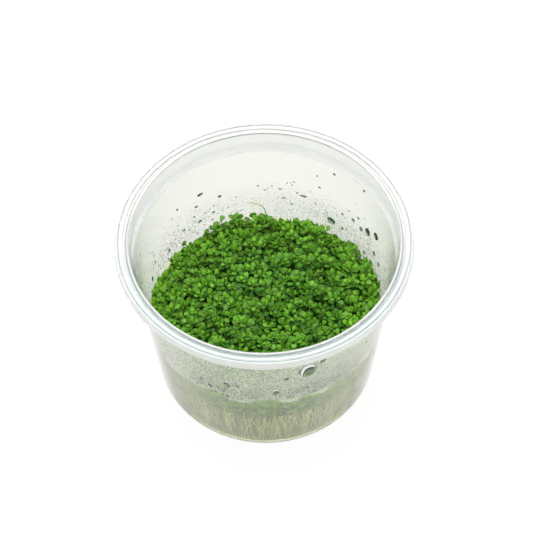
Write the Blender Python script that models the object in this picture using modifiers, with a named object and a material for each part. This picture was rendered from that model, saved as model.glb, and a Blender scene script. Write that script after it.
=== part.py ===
"""A clear culture cup with a layer of nutrient gel and a mat of Glossostigma elatinoides growing on it.

Everything is in metres. The origin is the centre of the cup's base, and +Z is up.
"""

import math
import random

import bmesh
import bpy
from mathutils import Matrix, Vector

# Cup
CUP_HEIGHT = 0.0717
BASE_RADIUS = 0.0390  # where the line of the wall meets the table
SHOULDER_RADIUS = 0.0448  # outside of the wall at the foot of the shoulder
SHOULDER_DROP = 0.0082  # from the rim's top down to the foot of the shoulder
WALL = 0.0007
FLOOR = 0.0012
FOOT_FILLET = 0.0029
FOOT_SWEEP = 80  # degrees that the round at the foot turns through before it meets the leaning wall
RIM_SECTION = (  # radius and drop below the rim's top, from the shoulder up the collar and over the flange
    (0.0452, 0.0060),
    (0.0455, 0.0007),
    (0.0461, 0.0001),
    (0.0471, 0.0007),
    (0.0476, 0.0006),
    (0.0481, 0.0000),
    (0.0486, 0.0000),
    (0.0490, 0.0006),
    (0.0494, 0.0002),
    (0.0499, 0.0003),
    (0.0501, 0.0016),
    (0.0503, 0.0019),
    (0.0503, 0.0033),
    (0.0495, 0.0033),
    (0.0492, 0.0015),
    (0.0465, 0.0015),
    (0.0461, 0.0058),
)
TURN_STEPS = 32

# Gel
GAP = 0.0003
GEL_TOP = 0.0225

# Plants: how many stand in each ring, and the ring's radius
PLANT_RINGS = ((3, 0.0074), (10, 0.0200), (17, 0.0332))
RING_TURN = 0.35  # each ring starts this share of a step further round than the one inside it
CROWN_REACH = 0.0095
CROWN_TOP_RADIUS = 0.0040
CROWN_HEIGHT = 0.0038
CROWN_SIDES = 7
ROOT_TOP_RADIUS = 0.0024
ROOT_TIP_RADIUS = 0.0008
ROOT_TIP_HEIGHT = 0.0045
ROOT_SIDES = 5

# Shoots: one leaf rosette each, in rings that fill the mat out to the cup's wall
SHOOT_PITCH = 0.0072
RING_SLACK = 0.3  # share of one shoot's width that each ring of shoots keeps free
SHOOT_SHIFT = 0.0002
SHOOT_LEAN = 0.15  # steepest slope of a rosette
SHOOT_FOOT_OUT = 0.55  # where a shoot's foot stands between the plant's middle and the shoot's tip
SHOOT_FOOT_RISE = 0.0014  # height of that foot above the gel
LEAF_REACH = 0.0034
LEAF_HALF_ANGLE = math.radians(29)
LEAVES = 4
LEAF_LEAST = 0.9  # shortest leaf as a share of the longest
NOTCH = 0.55  # how near to the stem the gap between two leaves reaches, as a share of the leaf's reach
LEAF_CUP = 0.0006  # how far the middle of a rosette and its notches lie below the leaf tips
MAT_TOP = 0.0308
MAT_BUMP = 0.0007
MAT_WAVES = (210, 170)  # hummocks across and along the mat, in radians per metre
SPRIG_PLACE = (-0.0150, 0.0370)  # where the mat stands tallest, at the back left
SPRIG_RISE = 0.0022
SPRIG_REACH = 0.0090

# Bare runner: its route out of a plant's crown and up along the back wall, and its thickness
RUNNER_RADIUS = 0.00024
RUNNER_ROUTE = (
    (-0.0012, 0.0355, 0.0240),
    (0.0004, 0.0390, 0.0300),
    (0.0006, 0.0394, 0.0335),
    (-0.0008, 0.0396, 0.0372),
    (-0.0060, 0.0392, 0.0401),
)

SEED = 20


def clear_scene():
    for obj in list(bpy.data.objects):
        bpy.data.objects.remove(obj, do_unlink=True)


def new_collection(name):
    collection = bpy.data.collections.new(name)
    bpy.context.scene.collection.children.link(collection)
    return collection


def plain_material(name, colour, roughness, transmission=0.0, ior=1.45):
    """A plain material: its colour, how glossy it is and how much light goes through it."""
    material = bpy.data.materials.new(name)
    material.use_nodes = True
    shader = material.node_tree.nodes["Principled BSDF"]
    shader.inputs["Base Color"].default_value = (*colour, 1.0)
    shader.inputs["Roughness"].default_value = roughness
    shader.inputs["Metallic"].default_value = 0.0
    shader.inputs["Transmission Weight"].default_value = transmission
    shader.inputs["IOR"].default_value = ior
    material.diffuse_color = (*colour, 1.0 - 0.7 * transmission)
    return material


def new_object(name, bm, collection, material=None):
    mesh = bpy.data.meshes.new(name)
    bm.to_mesh(mesh)
    bm.free()
    obj = bpy.data.objects.new(name, mesh)
    if material:
        mesh.materials.append(material)
    collection.objects.link(obj)
    return obj


def settle(obj, sharp_degrees):
    """Turn the object's modifiers into plain mesh, shaded smooth up to the given edge angle."""
    bpy.context.view_layer.update()
    graph = bpy.context.evaluated_depsgraph_get()
    mesh = bpy.data.meshes.new_from_object(obj.evaluated_get(graph))
    obj.modifiers.clear()
    obj.data = mesh
    mesh.name = obj.name
    mesh.shade_smooth()
    mesh.set_sharp_from_angle(angle=math.radians(sharp_degrees))


def wall_radius(height):
    """Outer radius of the cup's wall between the base and the shoulder."""
    slope = (SHOULDER_RADIUS - BASE_RADIUS) / (CUP_HEIGHT - SHOULDER_DROP)
    return BASE_RADIUS + slope * height


def room(height):
    """How far from the axis a plant may reach: the flats of the turned wall lie nearer than its corners."""
    return (wall_radius(height) - WALL) * math.cos(math.pi / TURN_STEPS) - GAP


def corner(radius, floor, fillet, steps):
    """Points of the round between a flat floor and the wall, from the floor outwards and up."""
    centre = (radius - fillet, floor + fillet)
    angles = (math.radians(-90 + FOOT_SWEEP * i / steps) for i in range(steps + 1))
    return [(centre[0] + fillet * math.cos(a), centre[1] + fillet * math.sin(a)) for a in angles]


def turned(name, profile, collection, material):
    """A solid of revolution about Z. The profile runs up the inside and then down the outer side."""
    bm = bmesh.new()
    points = [bm.verts.new((radius, 0.0, height)) for radius, height in profile]
    for start, end in zip(points, points[1:]):
        bm.edges.new((start, end))
    obj = new_object(name, bm, collection, material)
    screw = obj.modifiers.new("turn", "SCREW")
    screw.axis = "Z"
    screw.steps = TURN_STEPS
    screw.render_steps = TURN_STEPS
    screw.use_merge_vertices = True
    screw.merge_threshold = 0.00001
    return obj


def make_cup(collection):
    foot = CUP_HEIGHT - SHOULDER_DROP
    inner_corner = corner(wall_radius(FOOT_FILLET) - WALL, FLOOR, FOOT_FILLET - WALL, 2)
    outer_corner = corner(wall_radius(FOOT_FILLET), 0.0, FOOT_FILLET, 3)
    profile = [(0.0, FLOOR)] + inner_corner
    profile.append((wall_radius(foot) - WALL, foot))
    profile += [(radius, CUP_HEIGHT - drop) for radius, drop in RIM_SECTION]
    profile.append((wall_radius(foot - WALL), foot - WALL))
    profile += outer_corner[::-1]
    profile.append((0.0, 0.0))
    material = plain_material("clear_polypropylene", (0.93, 0.95, 0.93), 0.25, 0.9, 1.49)
    cup = turned("cup", profile, collection, material)
    settle(cup, 40)


def plant_centres():
    centres = []
    for ring, (count, radius) in enumerate(PLANT_RINGS):
        for i in range(count):
            angle = 2 * math.pi * (i + RING_TURN * ring) / count
            centres.append(Vector((radius * math.cos(angle), radius * math.sin(angle), 0.0)))
    return centres


def nearest(place, centres):
    """Number of the plant whose middle is nearest to a place."""
    return min(range(len(centres)), key=lambda i: (centres[i] - place).length)


def make_gel(centres, collection, cutters):
    """The gel fills the cup's foot. Each plant's roots hang in a well of their own form."""
    base = FLOOR + GAP
    edge = wall_radius(0.0) - WALL - GAP
    top_edge = wall_radius(GEL_TOP) - WALL - GAP
    profile = [(0.0, GEL_TOP), (top_edge, GEL_TOP)]
    profile += corner(edge, base, FOOT_FILLET - WALL, 2)[::-1]
    profile.append((0.0, base))
    material = plain_material("nutrient_gel", (0.80, 0.82, 0.68), 0.1, 0.95, 1.34)
    gel = turned("nutrient_gel", profile, collection, material)
    wells = bmesh.new()
    for centre in centres:
        add_roots(wells, centre, GAP, GEL_TOP + 2 * GAP)
    cutter = new_object("root_wells", wells, cutters)
    cutter.hide_render = True
    cutter.display_type = "WIRE"
    cut = gel.modifiers.new("wells", "BOOLEAN")
    cut.operation = "DIFFERENCE"
    cut.solver = "EXACT"
    cut.object = cutter
    settle(gel, 40)


def add_roots(bm, centre, clearance, top):
    """One bundle of roots as a slim cone that stands on its tip, grown by the clearance all round."""
    tip = ROOT_TIP_HEIGHT - clearance
    place = Matrix.Translation(centre + Vector((0.0, 0.0, (tip + top) / 2)))
    bmesh.ops.create_cone(
        bm,
        cap_ends=True,
        segments=ROOT_SIDES,
        radius1=ROOT_TIP_RADIUS + clearance,
        radius2=ROOT_TOP_RADIUS + clearance,
        depth=top - tip,
        matrix=place,
    )


def cell_walls(centre, centres):
    """Planes halfway to each near plant, and one along the cup's wall, that bound a plant's own ground."""
    walls = []
    for other in centres:
        offset = other - centre
        if 0.0 < offset.length < 2 * CROWN_REACH:
            normal = offset.normalized()
            walls.append(((centre + other) / 2 - normal * GAP / 2, normal))
    outward = centre.normalized()
    half_step = math.pi / PLANT_RINGS[-1][0]
    walls.append((outward * room(GEL_TOP) * math.cos(half_step), outward))
    return walls


def make_crown(name, centre, centres, collection, material):
    """The mound of runners and low leaves that a plant's shoots rise from, cut to the plant's own ground."""
    base = GEL_TOP + GAP
    bm = bmesh.new()
    bmesh.ops.create_cone(
        bm,
        cap_ends=True,
        segments=CROWN_SIDES,
        radius1=CROWN_REACH,
        radius2=CROWN_TOP_RADIUS,
        depth=CROWN_HEIGHT,
        matrix=Matrix.Translation(centre + Vector((0.0, 0.0, base + CROWN_HEIGHT / 2))),
    )
    for point, normal in cell_walls(centre, centres):
        geometry = bm.verts[:] + bm.edges[:] + bm.faces[:]
        cut = bmesh.ops.bisect_plane(
            bm, geom=geometry, dist=1e-7, plane_co=point, plane_no=normal, clear_outer=True
        )
        edges = [item for item in cut["geom_cut"] if isinstance(item, bmesh.types.BMEdge)]
        bmesh.ops.holes_fill(bm, edges=edges, sides=0)
    bmesh.ops.recalc_face_normals(bm, faces=bm.faces[:])
    return new_object(name, bm, collection, material)


def mat_height(place):
    """Height of the leaf tops: gentle hummocks, and taller sprigs at the back left."""
    waves = math.sin(place.x * MAT_WAVES[0]) * math.cos(place.y * MAT_WAVES[1])
    sprig = Vector((*SPRIG_PLACE, 0.0))
    near = max(0.0, 1.0 - (place - sprig).length / SPRIG_REACH)
    return MAT_TOP + MAT_BUMP * waves + SPRIG_RISE * near


def shoot_places(rng):
    """Rings a shoot's width apart, from the cup's wall inwards, each shoot shaken a little."""
    radius = room(MAT_TOP) - LEAF_REACH - SHOOT_SHIFT
    places = []
    while radius > 0.0:
        count = max(1, round(2 * math.pi * radius / SHOOT_PITCH - RING_SLACK))
        turn = len(places) / 10  # an odd start, so that the shoots of two rings don't line up
        for i in range(count):
            angle = 2 * math.pi * (i + turn) / count
            away = radius + rng.uniform(-SHOOT_SHIFT, SHOOT_SHIFT)
            places.append(Vector((away * math.cos(angle), away * math.sin(angle), 0.0)))
        radius -= SHOOT_PITCH
    return places


def leaf_outline(step):
    """Angle, reach and drop of a point on a rosette's outline: a notch, then the two shoulders of a leaf."""
    leaf, point = divmod(step, 3)
    share = 2 * math.pi / LEAVES
    if point == 0:
        return leaf * share, NOTCH * LEAF_REACH, LEAF_CUP
    side = LEAF_HALF_ANGLE if point == 2 else -LEAF_HALF_ANGLE
    return (leaf + 0.5) * share + side, LEAF_REACH, 0.0


def make_shoot(place, centre, rng, collection):
    """Two pairs of round leaves around a stem tip, as a lobed funnel that stands on a point in the crown."""
    top = mat_height(place) + rng.uniform(-MAT_BUMP, MAT_BUMP)
    foot = centre.lerp(place, SHOOT_FOOT_OUT)
    foot.z = GEL_TOP + SHOOT_FOOT_RISE
    turn = rng.uniform(0.0, 2 * math.pi)
    lean = Vector((rng.uniform(-SHOOT_LEAN, SHOOT_LEAN), rng.uniform(-SHOOT_LEAN, SHOOT_LEAN), 0.0))
    bm = bmesh.new()
    bmesh.ops.create_uvsphere(bm, u_segments=3 * LEAVES, v_segments=2, radius=1.0)
    for vert in bm.verts:
        if vert.co.z < -0.5:
            vert.co = foot
        elif vert.co.z > 0.5:
            vert.co = place + Vector((0.0, 0.0, top - LEAF_CUP))
        else:
            step = round(math.atan2(vert.co.y, vert.co.x) / (2 * math.pi) * 3 * LEAVES)
            angle, reach, sink = leaf_outline(step)
            reach *= rng.uniform(LEAF_LEAST, 1.0)
            out = Vector((math.cos(angle + turn), math.sin(angle + turn), 0.0)) * reach
            vert.co = place + out + Vector((0.0, 0.0, top - sink + out.dot(lean)))
    return new_object("shoot", bm, collection)


def make_runner(collection):
    """A thin leafless runner, made as a curve and then turned into mesh so that it can join its plant."""
    curve = bpy.data.curves.new("runner", "CURVE")
    curve.dimensions = "3D"
    curve.resolution_u = 3
    curve.bevel_depth = RUNNER_RADIUS
    curve.bevel_resolution = 1
    curve.use_fill_caps = True
    spline = curve.splines.new("BEZIER")
    spline.bezier_points.add(len(RUNNER_ROUTE) - 1)
    for knot, place in zip(spline.bezier_points, RUNNER_ROUTE):
        knot.co = place
        knot.handle_left_type = "AUTO"
        knot.handle_right_type = "AUTO"
    route = bpy.data.objects.new("runner_route", curve)
    collection.objects.link(route)
    bpy.context.view_layer.update()
    graph = bpy.context.evaluated_depsgraph_get()
    bm = bmesh.new()
    mesh = bpy.data.meshes.new_from_object(route.evaluated_get(graph))
    bm.from_mesh(mesh)
    bmesh.ops.remove_doubles(bm, verts=bm.verts[:], dist=1e-6)
    bpy.data.objects.remove(route, do_unlink=True)
    return new_object("runner", bm, collection)


def make_plant(name, centre, centres, limbs, collection, material):
    """One plant: its crown and limbs grown together in one body."""
    plant = make_crown(name, centre, centres, collection, material)
    for limb in limbs:
        join = plant.modifiers.new("join", "BOOLEAN")
        join.operation = "UNION"
        join.solver = "EXACT"
        join.object = limb
    settle(plant, 25)
    for limb in limbs:
        bpy.data.objects.remove(limb, do_unlink=True)


def make_plants(centres, collection, cutters):
    rng = random.Random(SEED)
    material = plain_material("leaf_green", (0.16, 0.42, 0.05), 0.45)
    shoots = [[] for _ in centres]
    for place in shoot_places(rng):
        shoots[nearest(place, centres)].append(place)
    runner_plant = nearest(Vector((*RUNNER_ROUTE[1][:2], 0.0)), centres)
    for i, centre in enumerate(centres):
        roots = bmesh.new()
        add_roots(roots, centre, 0.0, GEL_TOP + 4 * GAP)
        limbs = [new_object("roots", roots, cutters)]
        limbs += [make_shoot(place, centre, rng, cutters) for place in shoots[i]]
        if i == runner_plant:
            limbs.append(make_runner(cutters))
        make_plant(f"plant_{i + 1:02d}", centre, centres, limbs, collection, material)


def main():
    clear_scene()
    parts = new_collection("glossostigma_cup")
    cutters = new_collection("cutters")
    centres = plant_centres()
    make_cup(parts)
    make_gel(centres, parts, cutters)
    make_plants(centres, parts, cutters)


main()
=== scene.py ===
"""Looks for a clear culture cup with a mat of Glossostigma elatinoides growing on nutrient gel.

Every length is in metres. The origin is the centre of the cup's base, and +Z is up.
"""

import functools
import math
import random

import bpy
import numpy as np
from bpy.props import FloatProperty, FloatVectorProperty, IntProperty, PointerProperty
from mathutils import Matrix, Quaternion, Vector


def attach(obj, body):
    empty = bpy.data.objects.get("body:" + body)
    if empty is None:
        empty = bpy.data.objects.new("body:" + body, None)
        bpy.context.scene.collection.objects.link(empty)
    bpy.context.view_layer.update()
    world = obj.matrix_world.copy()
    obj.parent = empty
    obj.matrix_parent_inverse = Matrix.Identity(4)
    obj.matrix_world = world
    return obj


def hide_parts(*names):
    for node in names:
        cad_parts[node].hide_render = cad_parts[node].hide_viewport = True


bl_info = {
    "name": "Glossostigma culture cup",
    "version": (1, 0, 0),
    "blender": (4, 5, 0),
    "location": "View3D > Sidebar > Culture cup",
    "description": "Models a clear culture cup with gel, a mat of small leafy plants and condensation",
    "category": "Object",
}

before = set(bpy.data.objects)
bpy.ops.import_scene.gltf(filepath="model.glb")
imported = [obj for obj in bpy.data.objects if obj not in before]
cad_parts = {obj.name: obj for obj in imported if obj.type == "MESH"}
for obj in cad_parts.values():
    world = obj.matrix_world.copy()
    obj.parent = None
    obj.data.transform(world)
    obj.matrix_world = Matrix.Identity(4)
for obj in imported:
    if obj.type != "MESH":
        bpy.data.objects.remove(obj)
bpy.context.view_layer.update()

BODY = "root"

# Cup: the wall's line, and the section of the rim as radius and drop below the rim's top
CUP_HEIGHT = 0.0717
BASE_RADIUS = 0.0390
SHOULDER_RADIUS = 0.0448
SHOULDER_DROP = 0.0082
FOOT_FILLET = 0.0029
RIM_INSIDE = (
    (0.0452, 0.0060),
    (0.0455, 0.0004),
    (0.0460, 0.0001),
    (0.0464, 0.0003),
    (0.0467, 0.0007),
    (0.0473, 0.0007),
    (0.0477, 0.0003),
    (0.0480, 0.0000),
    (0.0486, 0.0000),
    (0.0489, 0.0003),
    (0.0491, 0.0006),
    (0.0494, 0.0002),
    (0.0499, 0.0002),
)
RIM_OUTSIDE = (
    (0.0501, 0.0016),
    (0.0503, 0.0019),
    (0.0503, 0.0033),
    (0.0497, 0.0033),
    (0.0494, 0.0015),
    (0.0463, 0.0015),
    (0.0460, 0.0058),
)
ROUNDING = 0.00025
ROUND_STEPS = 3
CUP_SIDES = 192
WALL_SLOPE = (SHOULDER_RADIUS - BASE_RADIUS) / (CUP_HEIGHT - SHOULDER_DROP)

# The foot's fillet turns by this angle in degrees, because the wall leans outwards
FILLET_TURN = 84

# A rounded corner takes up at most this share of the lines beside it
CORNER_SHARE = 0.45

# How strongly each stuff bends light
PLASTIC_IOR = 1.49
GEL_IOR = 1.34
WATER_IOR = 1.333

# Heights over which the wall turns milky and the rim's top turns whiter, partly as a painted highlight, radii over
# which the skirt does
MILKY = (CUP_HEIGHT - 0.0100, CUP_HEIGHT - 0.0078)
CREST = (CUP_HEIGHT - 0.0005, CUP_HEIGHT - 0.0002)
SKIRT = (0.0497, 0.0500)
CREST_HIGHLIGHT_LOSS = 0.42
SKIRT_LOSS = 0.38
RIM_SCATTER = 0.002

# The rim's grooves, where a cool painted reflection lies at the front: radius, half width and distance at which the
# tone has faded
GROOVES = ((0.04715, 0.0006, 0.0009), (0.0490, 0.0002, 0.0004))
# Depths from the front to the back over which that painted reflection fades out
GROOVE_DEPTH = (-0.030, 0.010)

# Faces that stay clear so that light meets the rim's milky plastic once: radii and heights
CLEAR_UNDER = (0.0461, 0.0500)
CLEAR_UNDER_FROM = CUP_HEIGHT - 0.0052
COLLAR = (0.0458, 0.0464)
COLLAR_HEIGHT = (CUP_HEIGHT - 0.0057, CUP_HEIGHT - 0.0017)

# Mist and film inside the wall: where the mat's edge lies against its top, from the front to the middle
EDGE_DEPTH = (-0.030, 0.0)
EDGE_SHIFT = (0.0032, -0.0045)
EDGE_RAGGED = 0.0030

# How far round that edge the mist begins and the film ends
MIST_FOOT = (-0.0012, 0.0016)
FILM_TOP = (-0.0008, 0.0008)

# Where the mist fades: depth towards the back, height, and side to the right
FRONT_MIST_DEPTH = (-0.030, 0.004)
FRONT_MIST_HEIGHT = (0.045, 0.064)
BACK_MIST_DEPTH = (-0.010, 0.015)
BACK_MIST_HEIGHT = (0.036, 0.048)
BACK_MIST = 0.25
BRIGHT_SIDE = (-0.005, 0.028)
DENSE_SIDE = (0.014, 0.034)
HAZE_DEPTH = (-0.025, 0.0)

# Gel: distance from its edge and rise of the meniscus, the round of it, and the gap above the floor
MENISCUS = ((0.0030, 0.0), (0.0012, 0.0002), (0.0, 0.0008))
MENISCUS_ROUNDING = 0.0006
FLOOR_GAP = 0.00002

# Plants: how many stand in each ring, and the ring's radius
PLANT_RINGS = ((3, 0.0074), (10, 0.0200), (17, 0.0332))
RING_TURN = 0.35

# Leaf outline: angle from the tip and reach from the middle of the blade, on one side
LEAF_OUTLINE = ((0, 1.02), (30, 0.98), (60, 0.86), (90, 0.76), (120, 0.64), (150, 0.48), (180, 1.35))
LEAF_SEGMENTS = 12
LEAF_THICKNESS = 0.09

# Where a leaf's stalk starts, from the middle of its blade, and the whole leaf's length, both in half blades
LEAF_STALK = 1.35
LEAF_LENGTH = LEAF_STALK + 1

# Leaf models: name, lift of the rim and droop of the tip
LEAF_FORMS = (("leaf_flat", 0.14, 0.02), ("leaf_spoon", 0.28, 0.0), ("leaf_bent", 0.20, 0.12))

# How much shoots and leaves differ: in size, in turn (radians), in rise (degrees), in roll and in tone
VIGOUR = (0.88, 1.36)
LEAF_SIZES = (0.86, 1.08)
LEAF_WIDTHS = (0.92, 1.10)
TURN_SPREAD = 0.11
RISE_SPREAD = 9
ROLL_SPREAD = 0.18
SHOOT_TONE = 0.48
SHOOT_TONE_SPREAD = 0.17
LEAF_TONE_SPREAD = 0.08

# Shoots turn paler over this range of distances from the axis
PALER_FROM = 0.024
PALER_OVER = 0.012

# Leaf pairs of a shoot from its tip down: drop, leaf length, angle above the level, youth
LEAF_PAIRS = (
    (0.0000, 0.0013, 64, 1.00),
    (0.0002, 0.0020, 48, 0.80),
    (0.0005, 0.0025, 32, 0.50),
    (0.0011, 0.0029, 18, 0.28),
    (0.0021, 0.0030, 6, 0.12),
    (0.0034, 0.0030, -8, 0.00),
)

# Shoots pressed against the wall have paler leaves; their added youth is painted light that lifts the shade under
# the mat
EDGE_PAIRS = tuple((drop, length, rise, min(1.0, youth + 0.32)) for drop, length, rise, youth in LEAF_PAIRS[1:5])

# Yellow leaves that show through the front: angle in degrees, height and length
BRIGHT_LEAVES = (
    (-94.0, 0.0385, 0.0042),
    (-96.5, 0.0372, 0.0036),
    (-92.0, 0.0368, 0.0034),
    (-147.0, 0.0330, 0.0036),
    (-150.0, 0.0315, 0.0034),
    (-62.0, 0.0330, 0.0034),
    (-57.5, 0.0310, 0.0032),
    (-84.0, 0.0320, 0.0032),
)

# Hummocks of the mat: place, rise and reach
HUMMOCKS = (
    (-0.0150, 0.0365, -0.0017, 0.0090),
    (0.0040, 0.0380, -0.0030, 0.0100),
    (0.0370, 0.0130, 0.0030, 0.0080),
    (-0.0340, 0.0190, -0.0040, 0.0110),
    (-0.0250, 0.0300, -0.0026, 0.0080),
    (0.0270, 0.0290, -0.0028, 0.0080),
    (0.0080, 0.0360, -0.0010, 0.0060),
    (-0.0050, -0.0050, 0.0012, 0.0120),
    (0.0150, 0.0100, 0.0010, 0.0090),
)

# Tips of the sprigs that stand up at the back, and their leaf pairs
SPRIGS = (
    (-0.0156, 0.0362, 0.0325),
    (-0.0138, 0.0356, 0.0306),
    (-0.0108, 0.0378, 0.0328),
    (-0.0086, 0.0370, 0.0308),
    (-0.0062, 0.0382, 0.0300),
    (-0.0020, 0.0382, 0.0312),
    (-0.0194, 0.0340, 0.0300),
    (0.0222, 0.0318, 0.0318),
)
SPRIG_PAIRS = (
    (0.0000, 0.0015, 62, 1.00),
    (0.0004, 0.0023, 42, 0.85),
    (0.0014, 0.0027, 24, 0.60),
    (0.0030, 0.0028, 8, 0.40),
    (0.0048, 0.0027, -4, 0.25),
)

# Stems and roots: the curve of a unit long strand and its radius from foot to tip
STEM_KNOTS = ((0, 0, 0), (0.04, 0.02, 0.35), (-0.03, 0.02, 0.7), (0, 0, 1))
STEM_RADII = (0.034, 0.032, 0.030, 0.022)
STEM_WIDTH = 0.0085
STEM_INSET = 0.0004
WALL_STEM_WIDTH = 0.0075
ROOT_RADII = (0.012, 0.012, 0.011, 0.010, 0.008, 0.003)
ROOT_WAVE = 0.022
ROOT_MODELS = 4

# Two tones of the stems and of the runner, and the pale tone of the roots
STEM_COLOURS = ((0.16, 0.34, 0.05), (0.36, 0.50, 0.16))
RUNNER_COLOURS = ((0.60, 0.70, 0.20), (0.76, 0.80, 0.40))
PALE_ROOT = (0.98, 0.99, 0.95)

# The mat: its margin to the wall, where its edge's height is read, and that edge's rise at the front
MAT_MARGIN = 0.0017
EDGE_RADIUS = 0.038
EDGE_RISE = 0.0032

# How far above the gel's top a stem starts
FOOT_LIFT = 0.0008

# Crown of old growth under each plant, and the radius from which a plant counts as an outer one
CROWN_RADIUS = 0.0102
OUTER_RING = 0.03

# Full turn in radians for the free spin of leaves and roots
SPIN = 6.3

# Room between the plants and the wall, and their lowest point
PLANT_CLEARANCE = 0.00015
PLANT_FLOOR = 0.0016

# How many small pieces are joined at a time
BATCH = 200

# Bare runner against the back wall
RUNNER = (
    (-0.0012, 0.0355, 0.0240),
    (0.0004, 0.0390, 0.0300),
    (0.0006, 0.0394, 0.0335),
    (-0.0008, 0.0396, 0.0372),
    (-0.0060, 0.0392, 0.0401),
)
RUNNER_RADII = (0.00026, 0.00026, 0.00024, 0.00022, 0.00012)

# Large drops on the inside of the back wall: angle in degrees, height, width, length up the wall
DROPS = (
    (122.0, 0.0487, 0.0024, 0.0014),
    (112.0, 0.0437, 0.0015, 0.0012),
    (136.0, 0.0487, 0.0010, 0.0011),
    (125.0, 0.0438, 0.0013, 0.0010),
    (127.0, 0.0394, 0.0009, 0.0009),
    (124.0, 0.0353, 0.0018, 0.0013),
    (116.0, 0.0367, 0.0013, 0.0011),
    (120.7, 0.0383, 0.0007, 0.0007),
    (117.7, 0.0391, 0.0006, 0.0007),
    (115.4, 0.0398, 0.0007, 0.0006),
    (113.3, 0.0395, 0.0006, 0.0006),
    (134.0, 0.0362, 0.0012, 0.0013),
    (146.0, 0.0331, 0.0015, 0.0016),
    (159.1, 0.0378, 0.0010, 0.0011),
    (165.5, 0.0340, 0.0016, 0.0020),
    (92.6, 0.0453, 0.0010, 0.0006),
    (89.2, 0.0431, 0.0012, 0.0005),
    (85.8, 0.0452, 0.0008, 0.0006),
    (81.8, 0.0439, 0.0014, 0.0007),
    (78.4, 0.0475, 0.0007, 0.0006),
    (75.0, 0.0486, 0.0009, 0.0006),
    (79.8, 0.0394, 0.0016, 0.0008),
    (75.7, 0.0368, 0.0011, 0.0007),
    (73.3, 0.0432, 0.0010, 0.0007),
    (70.0, 0.0423, 0.0028, 0.0010),
    (63.7, 0.0549, 0.0007, 0.0007),
    (62.0, 0.0496, 0.0011, 0.0009),
    (55.0, 0.0595, 0.0012, 0.0010),
    (54.0, 0.0354, 0.0036, 0.0028),
    (48.0, 0.0421, 0.0011, 0.0011),
    (47.0, 0.0348, 0.0012, 0.0013),
    (44.4, 0.0460, 0.0007, 0.0007),
    (41.0, 0.0432, 0.0016, 0.0016),
    (38.0, 0.0464, 0.0010, 0.0011),
    (37.0, 0.0617, 0.0012, 0.0011),
    (35.0, 0.0425, 0.0018, 0.0020),
    (30.0, 0.0448, 0.0029, 0.0033),
    (30.0, 0.0333, 0.0014, 0.0016),
    (28.2, 0.0394, 0.0009, 0.0010),
    (23.0, 0.0482, 0.0030, 0.0030),
    (22.0, 0.0394, 0.0017, 0.0022),
    (15.8, 0.0385, 0.0014, 0.0022),
)

# Large drops on the outside of the front wall, in the same order of numbers
FRONT_DROPS = (
    (-71.7, 0.0536, 0.0053, 0.0087),
    (-81.6, 0.0515, 0.0020, 0.0033),
    (-86.0, 0.0420, 0.0024, 0.0041),
    (-67.9, 0.0370, 0.0010, 0.0017),
    (-78.1, 0.0368, 0.0010, 0.0017),
    (-73.9, 0.0426, 0.0010, 0.0017),
    (-71.8, 0.0419, 0.0010, 0.0017),
    (-107.8, 0.0451, 0.0026, 0.0043),
    (-103.4, 0.0453, 0.0014, 0.0023),
    (-116.3, 0.0401, 0.0020, 0.0033),
    (-112.5, 0.0409, 0.0014, 0.0022),
    (-120.7, 0.0425, 0.0015, 0.0025),
    (-121.2, 0.0385, 0.0008, 0.0014),
    (-110.0, 0.0394, 0.0012, 0.0020),
    (-108.2, 0.0362, 0.0017, 0.0028),
    (-124.7, 0.0443, 0.0010, 0.0017),
    (-129.0, 0.0303, 0.0008, 0.0014),
    (-106.3, 0.0279, 0.0010, 0.0017),
    (-38.7, 0.0475, 0.0011, 0.0017),
    (-65.4, 0.0574, 0.0027, 0.0039),
)

# The painted highlight of a front drop, a bright crescent of whitish faces at its upper rim: how far the dark circle
# under it is moved down, and that circle's radius
GLEAM_SHIFT = 0.30
GLEAM_RADIUS = 0.95
PAINTED_GLEAM_COLOUR = (0.97, 1.0, 0.97)

# How many degrees the painted highlights of the front drops turn for each degree round the cup
GLEAM_LEAN = 1.8

# Drops are sunk this far into the wall, and mist stands out by these shares of its radius
DROP_SINK = 0.00004
FRONT_MIST_RISE = 0.5
BACK_MIST_RISE = 0.06

# No mist sits above this height
MIST_LIMIT = 0.061

# Patches of mist: middle angle, half width, foot height, top height, number of droplets
MIST_PATCHES = (
    (146.0, 34.0, 0.0285, 0.0460, 400),
    (96.0, 22.0, 0.0320, 0.0460, 40),
    (58.0, 22.0, 0.0330, 0.0480, 120),
    (22.0, 22.0, 0.0310, 0.0500, 340),
    (-60.0, 36.0, 0.0355, 0.0560, 1300),
    (-112.0, 26.0, 0.0360, 0.0560, 700),
    (-90.0, 70.0, 0.0355, 0.0660, 1000),
)

# Stage: floor, large light and camera
STAGE_SIZE = 6.0
STAGE_DROP = 0.0002
KEY_PLACE = (-0.05, 0.25, 0.9)
KEY_AIM = Vector((0, 0, 0.03))
KEY_SIZE = 0.7
CAMERA_AIM = Vector((0.000594, 0.0, 0.054715))
CAMERA_LENS = 118.2
WHITE = (1.0, 1.0, 1.0)


def colour_prop(name, description, default):
    return FloatVectorProperty(name=name, description=description, default=default, subtype="COLOR")


def length_prop(name, description, default, least=0.0):
    return FloatProperty(name=name, description=description, default=default, min=least, unit="LENGTH")


def share_prop(name, description, default):
    return FloatProperty(name=name, description=description, default=default, min=0.0, max=1.0, subtype="FACTOR")


def count_prop(name, description, default, least=0):
    return IntProperty(name=name, description=description, default=default, min=least)


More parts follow.
